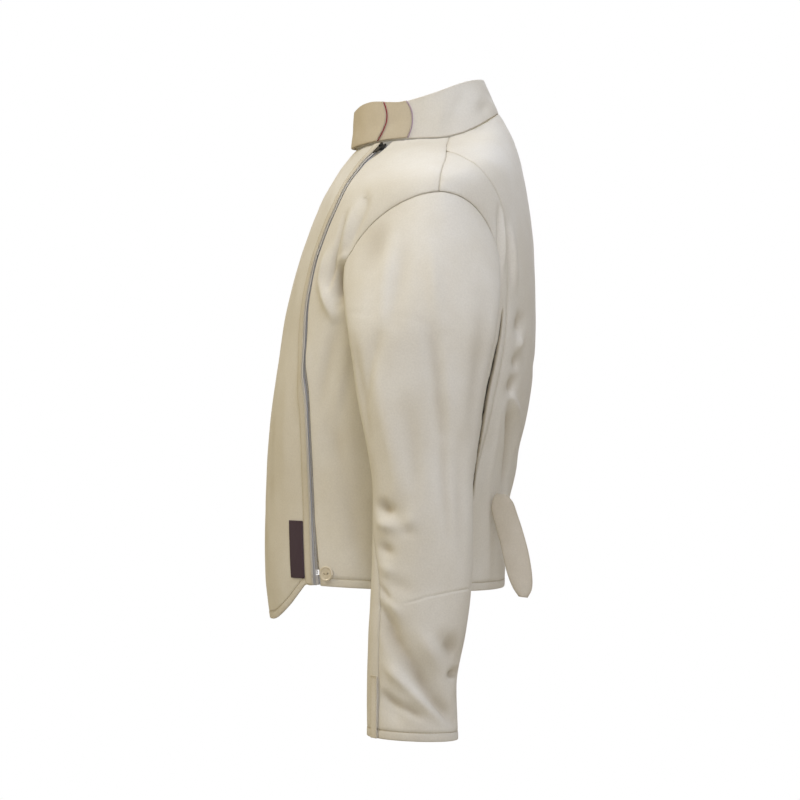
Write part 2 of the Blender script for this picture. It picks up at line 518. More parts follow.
def sleeve_form(around, down):
    """The left sleeve: down is 0 at the armhole, 1 at the full sleeve's first ring and 2 at the cuff."""
    around, down = np.broadcast_arrays(np.asarray(around, float), np.asarray(down, float))
    angle, level = armhole(around)
    start, off = ARMHOLE_POINTS(around), normals(torso_form, angle, level)
    along = ARMHOLE_POINTS(around + 0.01) - ARMHOLE_POINTS(around - 0.01)
    along /= np.linalg.norm(along, axis=-1, keepdims=True)
    into = np.cross(off, along)
    into *= np.sign(((ARMHOLE_CENTRE - start) * into).sum(axis=-1, keepdims=True))
    start = start + into * SEAM_GAP
    turn = np.degrees(np.arccos(np.cos(around)))
    leave = {name: np.interp(turn, CAP["turn"], values)[..., None] for name, values in CAP.items()}
    away = leave["into_hole"] * into + leave["off_cloth"] * off - leave["down"] * np.array([0, 0, 1.0])
    away /= np.linalg.norm(away, axis=-1, keepdims=True)
    end = arm_ring(around, ARM["level"][0])
    below = arm_ring(around, ARM["level"][0] - 0.01) - end
    below /= np.linalg.norm(below, axis=-1, keepdims=True)
    chord = np.linalg.norm(end - start, axis=-1, keepdims=True)
    t = np.clip(down, 0, 1)[..., None]
    cap = (
        (2 * t**3 - 3 * t**2 + 1) * start
        + (t**3 - 2 * t**2 + t) * away * chord * leave["pull"]
        + (3 * t**2 - 2 * t**3) * end
        + (t**3 - t**2) * below * chord
    )
    cuff = CUFF_LEVEL + CUFF_TILT * np.sin(around)
    lower = ARM["level"][0] + (cuff - ARM["level"][0]) * (down - 1)
    return np.where((down > 1)[..., None], arm_ring(around, lower), cap)


ROUND = np.radians(np.arange(-200, 561, 0.5))
AROUND_ARMHOLE = torso(*armhole(ROUND))
ARMHOLE_CENTRE = torso(np.radians(ARMHOLE_MIDDLE), (TIP_LEVEL + ARMPIT_LEVEL) / 2)


def ARMHOLE_POINTS(around):
    """Points on the creased cloth round the armhole, read off a fine ring of them."""
    return np.stack([np.interp(around, ROUND, AROUND_ARMHOLE[:, axis]) for axis in range(3)], axis=-1)


def sleeve(around, down, out=0.0):
    """Points on the left sleeve's cloth, moved out by a distance."""
    around, down = np.broadcast_arrays(np.asarray(around, float), np.asarray(down, float))
    off = normals(sleeve_form, around, np.clip(down, 2e-3, 2))
    seam = normals(torso_form, *armhole(around))
    blend = np.clip(1 - down / 0.03, 0, 1)[..., None]
    off = off * (1 - blend) + seam * blend
    off /= np.linalg.norm(off, axis=-1, keepdims=True)
    form = sleeve_form(around, down)
    depth = crease_depth(SLEEVE_FOLDS + SLEEVE_CREASES, around, form[..., 2], ARM_RADIUS)
    dart = [(*row, 0.0011, 0.0008) for row in ELBOW_DART]
    depth = depth + crease_depth(dart, around, form[..., 2], ARM_RADIUS)
    depth = depth - 0.00045 * waves(form, 0.060, 3.0) - 0.00015 * waves(form, 0.022, 5.0)
    ease = CLOTH * np.clip(down / EASED_BY, 0, 1)
    return form + (out + ease - depth * np.clip(down * 2, 0, 1))[..., None] * off


# %% [markdown]
# The sleeves' rows are closest at the armhole, along the dart and at the cuff's stitching. The right sleeve is the
# left one's mirror image, as both were cut from one pattern.

# %% The four pieces of the sleeves
MIRROR = np.array([-1.0, 1.0, 1.0])
ARM_LENGTH = ARM["level"][0] - CUFF_LEVEL
cap_rows = np.linspace(0, 1, 50) ** 1.15
cuff_rows = 2 - cut_lines(ARM_LENGTH, stitch=HEM_STITCH)[::-1]
cuff_rows = cuff_rows[cuff_rows > 1.006]
dart_rows = 1 + (ARM["level"][0] - np.arange(-0.503, -0.481, 0.0008)) / ARM_LENGTH
sleeve_rows = np.unique(np.concatenate([[0, 0.0015, 0.004, 0.008], cap_rows[1:], cuff_rows, dart_rows]))
sleeve_rows = sleeve_rows[np.insert(np.diff(sleeve_rows) > 4e-4, 0, True)]
sleeve_rows[-1] = 2.0


def sleeve_piece(name, start, end, width, mirrored):
    """An upper or under sleeve between two seams, each given as (row, degrees round the arm)."""
    share = cut_lines(width)
    rows = sleeve_rows[::-1]
    first = np.radians(smooth([row[0] for row in start], [row[1] for row in start], rows)) + SEAM_GAP / 2 / ARM_RADIUS
    last = np.radians(smooth([row[0] for row in end], [row[1] for row in end], rows)) - SEAM_GAP / 2 / ARM_RADIUS
    around = first[:, None] + (last - first)[:, None] * share
    side = MIRROR if mirrored else 1.0
    depth = crease_depth(SLEEVE_CREASES, around, sleeve_form(around, rows[:, None])[..., 2], ARM_RADIUS)
    return sewn(
        name, lambda out: sleeve(around, rows[:, None], out) * side, around.shape, ("seam", "seam", "hem", "seam"),
        soiled=CREASE_SOIL * np.clip(depth, 0, None),
    )


BACK_SEAM_BEHIND = [(row, angle - 360) for row, angle in BACK_SLEEVE_SEAM]
for side in ("left", "right"):
    pieces["sleeve_upper_" + side] = sleeve_piece(
        f"sleeve_upper_{side}_cloth", BACK_SEAM_BEHIND, FRONT_SLEEVE_SEAM, 0.170, side == "right"
    )
    pieces["sleeve_under_" + side] = sleeve_piece(
        f"sleeve_under_{side}_cloth", FRONT_SLEEVE_SEAM, BACK_SLEEVE_SEAM, 0.130, side == "right"
    )

# %% [markdown]
# The collar stands up round the neck and closes with two overlapping tabs over the top of the zip, so a blade can't
# slip in. The outer tab ends in a curved edge with a thin red piping, the inner one in a pale mauve piping.

# %% The collar and its tabs
RIM = dict(half_width=0.062, y_side=-0.012, y_front=-0.0915, y_back=0.049)
RIM_TOP = columns(
    "y z",
    [
        (-0.0915, 0.0305), (-0.0850, 0.0350), (-0.0760, 0.0378), (-0.0620, 0.0376), (-0.0440, 0.0368),
        (-0.0300, 0.0402), (-0.0080, 0.0468), (0.0150, 0.0557), (0.0300, 0.0615), (0.0490, 0.0668),
    ],
)
COLLAR_CLOTH, TAB_CLOTH, TAB_GAP, COLLAR_HEIGHT = 0.0026, 0.0020, 0.0005, 0.048
OUTER_TAB_END = [46.8, 51.5, 54.3, 54.0, 51.1]
INNER_TAB_END = [71.5, 74.5, 75.3, 74.2, 70.6]
COLLAR_CREASES = [
    (110, 0.35, 126, 0.82, 0.0060, 0.0022), (96, 0.25, 104, 0.70, 0.0060, -0.0012), (138, 0.22, 152, 0.34, 0.0065, 0.0020),
    (128, 0.45, 146, 0.62, 0.0060, -0.0014), (158, 0.70, 172, 0.35, 0.0060, 0.0014), (200, 0.20, 216, 0.75, 0.0055, 0.0017),
    (238, 0.70, 252, 0.25, 0.0060, 0.0017), (284, 0.30, 296, 0.70, 0.0060, 0.0014), (16, 0.30, 28, 0.60, 0.0070, 0.0011),
    (40, 0.25, 46, 0.55, 0.0060, 0.0010), (58, 0.30, 66, 0.62, 0.0060, 0.0012), (-14, 0.60, 4, 0.40, 0.0070, 0.0011),
]


def collar_form(angle, height):
    """The collar's surface, from the neck seam at height 0 to its top edge at 1."""
    angle, height = np.broadcast_arrays(np.asarray(angle, float), np.asarray(height, float))
    y_end = np.where(np.cos(angle) > 0, RIM["y_front"], RIM["y_back"])
    y = RIM["y_side"] + (y_end - RIM["y_side"]) * np.abs(np.cos(angle))
    edge = np.stack([RIM["half_width"] * np.sin(angle), y, smooth(RIM_TOP["y"], RIM_TOP["z"], y)], axis=-1)
    base = torso_form(angle, NECK_LEVEL)
    return base + (edge - base) * height[..., None]


def collar(angle, height, out=0.0):
    """Points on the collar's cloth, moved out by a distance."""
    creases = [(a, h1 * COLLAR_HEIGHT, b, h2 * COLLAR_HEIGHT, w, d) for a, h1, b, h2, w, d in COLLAR_CREASES]
    depth = crease_depth(creases, angle, np.asarray(height) * COLLAR_HEIGHT, 0.066)
    form = collar_form(angle, height)
    away = out - depth + 0.00018 * waves(form, 0.030, 7.0)
    return form + np.asarray(away)[..., None] * normals(collar_form, np.asarray(angle, float), np.asarray(height, float))


def collar_piece(name, start, end, width, low, **finish):
    """A piece of the collar between two edges, each in degrees from its bottom to its top."""
    height = low + (1 - low) * cut_lines(COLLAR_HEIGHT, cell=0.0028)
    up = (height - low) / (1 - low)
    left = np.radians(np.interp(up, np.linspace(0, 1, len(start)), start))
    right = np.radians(smooth(np.linspace(0, 1, len(end)), end, up))
    angle = left[:, None] + (right - left)[:, None] * cut_lines(width, cell=0.0028)
    grid = np.broadcast_to(height[:, None], angle.shape)
    return sewn(name, lambda out: collar(angle, grid, out), angle.shape, crisp=0.5, **finish)


neck_gap = 0.0004 / COLLAR_HEIGHT
pieces["collar"] = collar_piece(
    "collar_cloth", [348, 348], [-10, -10], 0.400, neck_gap, thick=COLLAR_CLOTH, edges=("fold", "fold", "seam", "fold")
)
tab_low = 0.0016 / COLLAR_HEIGHT
inner_out = TAB_GAP + TAB_CLOTH
outer_out = 2 * (TAB_GAP + TAB_CLOTH)
pieces["collar_tab_inner"] = collar_piece(
    "collar_tab_inner_cloth", [-24, -24], INNER_TAB_END, 0.110, tab_low, thick=TAB_CLOTH, out=inner_out,
    edges=("fold", "fold", "fold", "fold"), soiled=0.15,
)
pieces["collar_tab_outer"] = collar_piece(
    "collar_tab_outer_cloth", [-46, -46], OUTER_TAB_END, 0.110, tab_low, thick=TAB_CLOTH, out=outer_out,
    edges=("fold", "fold", "fold", "fold"), soiled=0.15,
)


def tab_piping(name, end, out, thick, width):
    """A thin cord of cloth against a tab's curved end, lying on the piece below."""
    up = np.linspace(0.0, 1.0, 24)
    edge = np.radians(smooth(np.linspace(0, 1, len(end)), end, up))[:, None]
    height = np.broadcast_to((tab_low + (1 - tab_low) * up)[:, None], (24, 5))
    angle = edge + (0.0002 + width * np.linspace(0, 1, 5)) / 0.075
    return sewn(name, lambda away: collar(angle, height, away), angle.shape, ("",) * 4, thick=thick, out=out)


red_piping = tab_piping("tab_piping_red", OUTER_TAB_END, inner_out + 0.0013, 0.0010, 0.0012)
mauve_piping = tab_piping("tab_piping_mauve", INNER_TAB_END, 0.0013, 0.0010, 0.0010)

# %% [markdown]
# A nylon coil zip joins the fronts. Its tapes are sewn under their edges, and a folded strip of cloth on the right
# front lies over it and ends in a notch above the hem.

# %% The strip over the zip and the zip's tapes
UNDER_GAP, LAID_GAP = 0.0006, 0.0004
ZIP_TOP, ZIP_CHAIN, TAPE_REACH = 0.041, 0.0040, 0.0085
zip_hem = float(hem_level(seam_line(ZIP_LINE, FRONT_HEM)))


def zip_strip(name, start, end, edges, out, thick, bottom=0.0, **finish):
    """A strip along the zip line between two distances from it, each a function of the level."""
    level = np.concatenate([[zip_hem + bottom], np.linspace(zip_hem + bottom + 0.0006, ZIP_TOP - 0.0006, 230), [ZIP_TOP]])
    share = np.array([0, 0.03, 0.08, 0.16, 0.3, 0.5, 0.7, 0.84, 0.92, 0.97, 1.0])
    level = level[:, None]
    angle = beside(ZIP_LINE, level, start(level) + (end(level) - start(level)) * share)
    grid = np.broadcast_to(level, angle.shape)
    return sewn(name, lambda away: torso(angle, grid, away), angle.shape, edges, thick=thick, out=out, crisp=0.3, **finish)


def chain_left(level):
    return zip_channel(level) / 2 - ZIP_CHAIN / 2


def chain_right(level):
    return zip_channel(level) / 2 + ZIP_CHAIN / 2


def strip_start(level):
    """The strip's outer edge, with a notch cut into its lower end."""
    return -0.0095 + 0.0040 * (level < zip_hem + 0.0022)


pieces["placket"] = zip_strip(
    "placket_cloth", strip_start, lambda at: -LAID_GAP + 0 * at, ("fold",) * 4, LAID_GAP + 0.0012, 0.0012, soiled=0.25
)
pieces["zip_tape_right"] = zip_strip(
    "zip_tape_right_cloth", lambda at: -TAPE_REACH + 0 * at, lambda at: chain_left(at) - LAID_GAP, ("",) * 4,
    -CLOTH - UNDER_GAP, 0.0010,
)
pieces["zip_tape_left"] = zip_strip(
    "zip_tape_left_cloth", lambda at: chain_right(at) + LAID_GAP, lambda at: zip_channel(at) + TAPE_REACH, ("",) * 4,
    -CLOTH - UNDER_GAP, 0.0010,
)

# %% [markdown]
# The coil's teeth are loops of nylon that mesh from both sides. Each is a small egg shape laid across the chain, one
# from the left and one from the right in turn, 0.9 mm apart. A few hundred of them need only a few faces each.

# %% The coil of the zip
TOOTH_PITCH = 0.0009
CHAIN_OUT = -CLOTH - UNDER_GAP + 0.0008


def along_zip(level, away, out):
    """A place by the zip line as a matrix: X to the wearer's left, Y up along the zip and Z off the cloth."""
    level = np.asarray(level, float)
    point = torso(beside(ZIP_LINE, level, away), level, out)
    off = Vector(normals(torso_form, beside(ZIP_LINE, level, away), level))
    ends = [torso_form(beside(ZIP_LINE, level + step, away), level + step) for step in (0.004, -0.004)]
    up = Vector(ends[0] - ends[1])
    up = (up - up.project(off)).normalized()
    return Matrix.Translation(Vector(point)) @ Matrix((up.cross(off), up, off)).transposed().to_4x4()


def finished(name, bm, smooth_faces=True):
    """Turns a bmesh into an object that sits at the origin."""
    bmesh.ops.recalc_face_normals(bm, faces=bm.faces)
    mesh = bpy.data.meshes.new(name)
    bm.to_mesh(mesh)
    bm.free()
    mesh.polygons.foreach_set("use_smooth", np.full(len(mesh.polygons), smooth_faces))
    made = bpy.data.objects.new(name, mesh)
    bpy.context.scene.collection.objects.link(made)
    return made


bm = bmesh.new()
for number, level in enumerate(np.arange(zip_hem + 0.0125, ZIP_TOP - 0.0008, TOOTH_PITCH)):
    side = 1 if number % 2 else -1
    seat = along_zip(level, float(zip_channel(level)) / 2 + side * 0.00045, CHAIN_OUT - 0.0006)
    bmesh.ops.create_icosphere(bm, subdivisions=1, radius=1, matrix=seat @ Matrix.Diagonal((0.00145, 0.00052, 0.00062, 1)))
pieces["zip_chain"] = finished("zip_coil", bm)
print("zip teeth:", number + 1)

# %% [markdown]
# Small sewn-on pieces: the dark woven label, left blank, the faced strips over the cuff vents, and the folded strap
# that hangs from the small of the back.

# %% The label, the cuff vents and the back strap
LABEL_LEVELS, LABEL_AWAY = (-0.4825, -0.4210), (-0.0330, -0.0108)
label_level = LABEL_LEVELS[0] + (LABEL_LEVELS[1] - LABEL_LEVELS[0]) * cut_lines(0.0615, cell=0.003)[:, None]
label_share = cut_lines(0.0222, cell=0.0025)
label_grid = np.broadcast_to(label_level, (len(label_level), len(label_share)))
label_angle = beside(ZIP_LINE, label_grid, LABEL_AWAY[0] + (LABEL_AWAY[1] - LABEL_AWAY[0]) * label_share)
pieces["label"] = sewn(
    "label_cloth", lambda out: torso(label_angle, label_grid, out), label_angle.shape, ("",) * 4, thick=0.0010, out=0.0014
)

VENT_LENGTH, VENT_WIDTH, VENT_GAP, VENT_CLOTH = 0.064, 0.011, 0.0008, 0.0012
vent_down = (2 - VENT_LENGTH / ARM_LENGTH * (1 - cut_lines(VENT_LENGTH)))[:, None]
vent_seam = np.radians(smooth([row[0] for row in FRONT_SLEEVE_SEAM], [row[1] for row in FRONT_SLEEVE_SEAM], vent_down))
vent_around = vent_seam + VENT_WIDTH / ARM_RADIUS * (1.0 - cut_lines(VENT_WIDTH, cell=0.0016))
for side, turn in (("left", 1.0), ("right", MIRROR)):
    pieces["cuff_vent_" + side] = sewn(
        f"cuff_vent_{side}_cloth", lambda out: sleeve(vent_around, vent_down, out) * turn, vent_around.shape,
        ("fold",) * 4, thick=VENT_CLOTH, out=VENT_GAP + VENT_CLOTH,
    )

STRAP = columns(
    "x y z half_width lean",
    [
        (0.1045, 0.0650, -0.3925, 0.0055, 8.0), (0.1040, 0.0665, -0.4000, 0.0112, 10.0),
        (0.1032, 0.0682, -0.4120, 0.0146, 13.0), (0.1028, 0.0727, -0.4280, 0.0156, 14.0),
        (0.1030, 0.0792, -0.4520, 0.0154, 13.0), (0.1042, 0.0842, -0.4780, 0.0142, 10.0),
        (0.1050, 0.0870, -0.4940, 0.0110, 9.0), (0.1055, 0.0883, -0.5045, 0.0050, 8.0),
    ],
)
STRAP_CLOTH = 0.0030
strap_down = cut_lines(0.114, cell=0.0026)[:, None]
strap_share = 2 * cut_lines(0.030, cell=0.0024) - 1
strap_at = {name: smooth(np.linspace(0, 1, 8), values, strap_down) for name, values in STRAP.items()}


def strap_surface(out):
    """The strap hangs on edge, so its broad side faces the wearer's left."""
    tilt = np.radians(strap_at["lean"])
    y = strap_at["y"] + strap_at["half_width"] * strap_share * np.cos(tilt)
    z = strap_at["z"] - strap_at["half_width"] * strap_share * np.sin(tilt)
    bow = 0.0020 * (1 - strap_share**2) + 0.0006 * np.sin(strap_down * 9 + strap_share * 1.4)
    return np.stack(np.broadcast_arrays(strap_at["x"] + bow + out, y, z), axis=-1)


pieces["back_strap"] = sewn(
    "back_strap_cloth", strap_surface, (len(strap_down), len(strap_share)), ("fold",) * 4, thick=STRAP_CLOTH,
    out=STRAP_CLOTH / 2,
)

# %% [markdown]
# Stitches are short spindles of thread in a row. They show at the hems, round the label, down the strip over the zip
# and in the bar tacks that hold the ends of the cuff vents.

# %% Rows of stitches
THREAD = 0.00024
STITCH_PITCH = 0.0034


def sew_row(bm, points, off, pitch=STITCH_PITCH, thread=THREAD):
    """Adds a row of stitches along a line of points, each with its direction off the cloth."""
    steps = np.concatenate([[0], np.cumsum(np.linalg.norm(np.diff(points, axis=0), axis=-1))])
    for at in np.arange(pitch / 2, steps[-1], pitch):
        here, ahead = (Vector([np.interp(at + d, steps, points[:, k]) for k in range(3)]) for d in (0, 0.0005))
        up = Vector([np.interp(at, steps, off[:, k]) for k in range(3)]).normalized()
        along = (ahead - here).normalized()
        side = up.cross(along).normalized()
        turned = Matrix((along, side, along.cross(side))).transposed().to_4x4()
        size = Matrix.Diagonal((pitch * 0.42, thread, thread, 1))
        bmesh.ops.create_icosphere(bm, subdivisions=1, radius=1, matrix=Matrix.Translation(here) @ turned @ size)


hem_angles = np.radians(np.arange(-180, 180.5, 0.5))
hem_bm = bmesh.new()
for first, last in ((-179.5, 55.0), (61.0, 180.0)):
    run = hem_angles[(hem_angles >= np.radians(first)) & (hem_angles <= np.radians(last))]
    level = hem_level(run) + HEM_STITCH
    sew_row(hem_bm, torso(run, level, -0.0002), normals(torso_form, run, level))
for side in (1.0, MIRROR):
    ring = np.radians(np.arange(0, 361, 2.0))
    down = np.full(ring.shape, 2 - HEM_STITCH / ARM_LENGTH)
    sew_row(hem_bm, sleeve(ring, down, -0.0002) * side, normals(sleeve_form, ring, down) * side)
hem_stitches = finished("hem_stitches", hem_bm)

trim_bm = bmesh.new()
run = np.linspace(zip_hem + 0.004, ZIP_TOP - 0.002, 300)
for away, out in ((-0.0082, LAID_GAP + 0.0013), (-0.0018, LAID_GAP + 0.0013)):
    angle = beside(ZIP_LINE, run, away)
    sew_row(trim_bm, torso(angle, run, out), normals(torso_form, angle, run))
for side in (1.0, MIRROR):
    for place in (0.86, 0.14):
        around = vent_seam[:, 0] + VENT_WIDTH / ARM_RADIUS * place
        down = vent_down[:, 0]
        sew_row(trim_bm, sleeve(around, down, VENT_GAP + VENT_CLOTH) * side, normals(sleeve_form, around, down) * side)
    for row in range(5):
        around = vent_seam[0, 0] + VENT_WIDTH / ARM_RADIUS * np.linspace(0.96, 0.04, 8)
        down = np.full(8, float(vent_down[0, 0]) + (0.0008 + row * 0.0005) / ARM_LENGTH)
        sew_row(trim_bm, sleeve(around, down, VENT_GAP + VENT_CLOTH) * side, normals(sleeve_form, around, down) * side, 0.0014)
for line in (0.10, 0.90):
    sew_row(trim_bm, strap_surface(STRAP_CLOTH / 2 + 0.0001)[5:-5, int(line * len(strap_share))], np.tile([1.0, 0, 0], (200, 1))[: len(strap_down) - 10])
trim_stitches = finished("trim_stitches", trim_bm)

label_bm = bmesh.new()
for share, steps in ((0.07, None), (0.93, None), (None, 0.02), (None, 0.98)):
    if share is not None:
        level = np.linspace(LABEL_LEVELS[0] + 0.001, LABEL_LEVELS[1] - 0.001, 40)
        away = np.full(40, LABEL_AWAY[0] + (LABEL_AWAY[1] - LABEL_AWAY[0]) * share)
    else:
        across = np.linspace(0.07, 0.93, 40)
        level = np.full(40, LABEL_LEVELS[0] + (LABEL_LEVELS[1] - LABEL_LEVELS[0]) * steps)
        away = LABEL_AWAY[0] + (LABEL_AWAY[1] - LABEL_AWAY[0]) * across
    angle = beside(ZIP_LINE, level, away)
    sew_row(label_bm, torso(angle, level, 0.0015), normals(torso_form, angle, level), 0.0024, 0.00016)
label_stitches = finished("label_stitches", label_bm)
print("stitch faces:", sum(len(o.data.polygons) for o in (hem_stitches, trim_stitches, label_stitches)))

# %% [markdown]
# The button is held by thread through its two holes. Two short loops cross between them.

# %% The button's thread
button_seat = along_zip(-0.4765, 0.0192, LAID_GAP + 0.0003)
bm = bmesh.new()
for offset in (-0.0003, 0.0, 0.0003):
    place = button_seat @ Matrix.Translation((0, offset, 0.0021))
    bmesh.ops.create_icosphere(bm, subdivisions=2, radius=1, matrix=place @ Matrix.Diagonal((0.0023, 0.00022, 0.0003, 1)))
button_thread = finished("button_thread", bm)

# %% [markdown]
# Materials come next. Colours are written as on screen and turned into light once. One helper adds a node.

# %% Colours and nodes
def light_of(text):
    """A hex colour as linear light with an alpha of one."""
    parts = [int(text[i : i + 2], 16) / 255 for i in (1, 3, 5)]
    return (*[part / 12.92 if part <= 0.04045 else ((part + 0.055) / 1.055) ** 2.4 for part in parts], 1.0)


def add_node(tree, kind, inputs=None, **settings):
    """Adds a node. Settings are its own properties, and each input takes a value or another node's output."""
    made = tree.nodes.new(kind)
    for name, value in settings.items():
        setattr(made, name, value)
    for name, value in (inputs or {}).items():
        if isinstance(value, bpy.types.NodeSocket):
            tree.links.new(value, made.inputs[name])
        else:
            made.inputs[name].default_value = value
    return made


def new_material(name, **values):
    """A material with its tree, its Principled shader and the values set on the shader's own sockets."""
    material = bpy.data.materials.new(name)
    material.use_nodes = True
    shader = material.node_tree.nodes["Principled BSDF"]
    for socket, value in values.items():
        shader.inputs[socket.replace("_", " ")].default_value = value
    return material, material.node_tree, shader


# %% [markdown]
# Cotton gabardine is a steep twill: fine diagonal ridges of thread about 0.5 mm apart, matt, with a faint sheen along
# folds. Drawn at 1.1 mm they just show in the render. Old white cotton yellows unevenly, so a large soft noise moves
# the colour, a fine one gives the fibres, and the "soil" attribute warms and darkens seams and edges.

# %% Cotton gabardine
TWILL_SPACING = 0.0011
FOLD_INSIDE = "#1E1D19"  # next to no light comes out of a fold that is pressed shut


def gabardine(name, clean, worn, soiled, twill=0.30):
    """Woven cotton. Clean and worn are the two ends of its uneven white, and soiled is the tone in the seams."""
    material, tree, shader = new_material(name, Roughness=0.88, Sheen_Weight=0.18, Sheen_Roughness=0.45, Specular_IOR_Level=0.25)
    cut = add_node(tree, "ShaderNodeUVMap", uv_map="cut").outputs["UV"]
    steep = add_node(tree, "ShaderNodeMapping", {"Vector": cut, "Rotation": (0, 0, np.radians(27))}).outputs["Vector"]
    ridges = add_node(
        tree, "ShaderNodeTexWave",
        {"Vector": steep, "Scale": 2 * np.pi / 20 / TWILL_SPACING, "Distortion": 1.2, "Detail": 2.0, "Detail Scale": 1.5},
        wave_type="BANDS", bands_direction="X",
    ).outputs["Fac"]
    where = add_node(tree, "ShaderNodeTexCoord").outputs["Object"]
    patches = add_node(tree, "ShaderNodeTexNoise", {"Vector": where, "Scale": 14.0, "Detail": 3.0, "Roughness": 0.55}).outputs["Fac"]
    fibres = add_node(tree, "ShaderNodeTexNoise", {"Vector": where, "Scale": 520.0, "Detail": 2.0}).outputs["Fac"]
    soft = add_node(tree, "ShaderNodeMapRange", {"Value": patches, "From Min": 0.3, "From Max": 0.7}).outputs["Result"]
    white = add_node(tree, "ShaderNodeMix", {"Factor": soft, "A": light_of(clean), "B": light_of(worn)}, data_type="RGBA")
    soil = add_node(tree, "ShaderNodeAttribute", attribute_name="soil").outputs["Fac"]
    stained = add_node(
        tree, "ShaderNodeMix", {"Factor": soil, "A": white.outputs["Result"], "B": light_of(soiled)}, data_type="RGBA"
    )
    deep = add_node(tree, "ShaderNodeMapRange", {"Value": soil, "From Min": 1.0, "From Max": 2.0}).outputs["Result"]
    stained = add_node(
        tree, "ShaderNodeMix", {"Factor": deep, "A": stained.outputs["Result"], "B": light_of(FOLD_INSIDE)}, data_type="RGBA"
    )
    shade = add_node(tree, "ShaderNodeMapRange", {"Value": fibres, "From Min": 0.25, "From Max": 0.75, "To Min": 0.955, "To Max": 1.03})
    final = add_node(
        tree, "ShaderNodeMix", {"Factor": 1.0, "A": stained.outputs["Result"], "B": shade.outputs["Result"]},
        data_type="RGBA", blend_type="MULTIPLY",
    )
    tree.links.new(final.outputs["Result"], shader.inputs["Base Color"])
    height = add_node(tree, "ShaderNodeMath", {0: ridges, 1: twill}, operation="MULTIPLY").outputs["Value"]
    height = add_node(tree, "ShaderNodeMath", {0: fibres, 1: height}, operation="ADD").outputs["Value"]
    bump = add_node(tree, "ShaderNodeBump", {"Height": height, "Strength": 0.35, "Distance": 0.0003})
    tree.links.new(bump.outputs["Normal"], shader.inputs["Normal"])
    return material


white_cotton = gabardine("cotton_gabardine_white", "#EAE8E0", "#E2DED2", "#B5AB96")
tab_cotton = gabardine("cotton_gabardine_handled", "#DCD3BF", "#D2C7AF", "#A89A7C")
strap_cotton = gabardine("cotton_gabardine_strap", "#DFD9CC", "#D3CBBA", "#A49A84")
edging_cotton = gabardine("cotton_edging", "#E8E4D8", "#DFD9C9", "#AFA487", twill=0.1)

# %% [markdown]
# The other finishes are a polyester zip tape, woven in fine lengthwise ribs; glossy moulded nylon for the coil; black
# paint on die-cast zinc for the slider and its pull; cast polyester for the button, with a faint pearly cloud; a
# satin-woven polyester label; and cotton thread, which is a twisted, slightly shiny yarn.

# %% Zip, button, label and thread
def ribbed_tape(name, colour, darker, spacing):
    """A woven tape with ribs along its length."""
    material, tree, shader = new_material(name, Roughness=0.75, Sheen_Weight=0.1, Specular_IOR_Level=0.35)
    cut = add_node(tree, "ShaderNodeUVMap", uv_map="cut").outputs["UV"]
    ribs = add_node(
        tree, "ShaderNodeTexWave", {"Vector": cut, "Scale": 2 * np.pi / 20 / spacing, "Distortion": 0.5, "Detail": 1.0},
        wave_type="BANDS", bands_direction="X",
    ).outputs["Fac"]
    mixed = add_node(tree, "ShaderNodeMix", {"Factor": ribs, "A": light_of(darker), "B": light_of(colour)}, data_type="RGBA")
    tree.links.new(mixed.outputs["Result"], shader.inputs["Base Color"])
    bump = add_node(tree, "ShaderNodeBump", {"Height": ribs, "Strength": 0.3, "Distance": 0.0002})
    tree.links.new(bump.outputs["Normal"], shader.inputs["Normal"])
    return material


def mottled(name, colour, other, size, bump_strength, **values):
    """A cast, painted or spun finish: two near colours in soft patches of a size, with a slight unevenness."""
    material, tree, shader = new_material(name, **values)
    where = add_node(tree, "ShaderNodeTexCoord").outputs["Object"]
    cloud = add_node(tree, "ShaderNodeTexNoise", {"Vector": where, "Scale": 1 / size, "Detail": 3.0}).outputs["Fac"]
    spread = add_node(tree, "ShaderNodeMapRange", {"Value": cloud, "From Min": 0.3, "From Max": 0.7}).outputs["Result"]
    mixed = add_node(tree, "ShaderNodeMix", {"Factor": spread, "A": light_of(colour), "B": light_of(other)}, data_type="RGBA")
    tree.links.new(mixed.outputs["Result"], shader.inputs["Base Color"])
    bump = add_node(tree, "ShaderNodeBump", {"Height": cloud, "Strength": bump_strength, "Distance": 0.0002})
    tree.links.new(bump.outputs["Normal"], shader.inputs["Normal"])
    return material


zip_tape = ribbed_tape("polyester_zip_tape", "#CFD0D3", "#B2B4BA", 0.0010)
satin_label = ribbed_tape("satin_woven_label", "#4E3D49", "#3D2F3A", 0.0009)
nylon = mottled("moulded_nylon_coil", "#C8C9CC", "#AEB0B6", 0.004, 0.1, Roughness=0.35, Specular_IOR_Level=0.5, IOR=1.53)
black_paint = mottled("black_painted_zinc", "#17181A", "#26272A", 0.003, 0.2, Roughness=0.38, Specular_IOR_Level=0.5)
pearl = mottled("cast_polyester_button", "#E4DCC9", "#D5CBB4", 0.004, 0.1, Roughness=0.28, IOR=1.56, Coat_Weight=0.2)
thread = mottled("cotton_thread_white", "#DCD3BE", "#C8BD9F", 0.002, 0.5, Roughness=0.8, Sheen_Weight=0.2)
dark_thread = mottled("polyester_thread_plum", "#6A5663", "#564552", 0.002, 0.5, Roughness=0.6)
red_cotton = mottled("dyed_cotton_piping_red", "#B03A46", "#98303C", 0.003, 0.4, Roughness=0.85)
mauve_cotton = mottled("dyed_cotton_piping_mauve", "#BFA3B4", "#AE92A4", 0.003, 0.4, Roughness=0.85)

# %% [markdown]
# Each piece now gets its finish, rides on the jacket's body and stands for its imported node. The slider, its pull, the
# zip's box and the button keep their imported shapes, so only their finish changes.

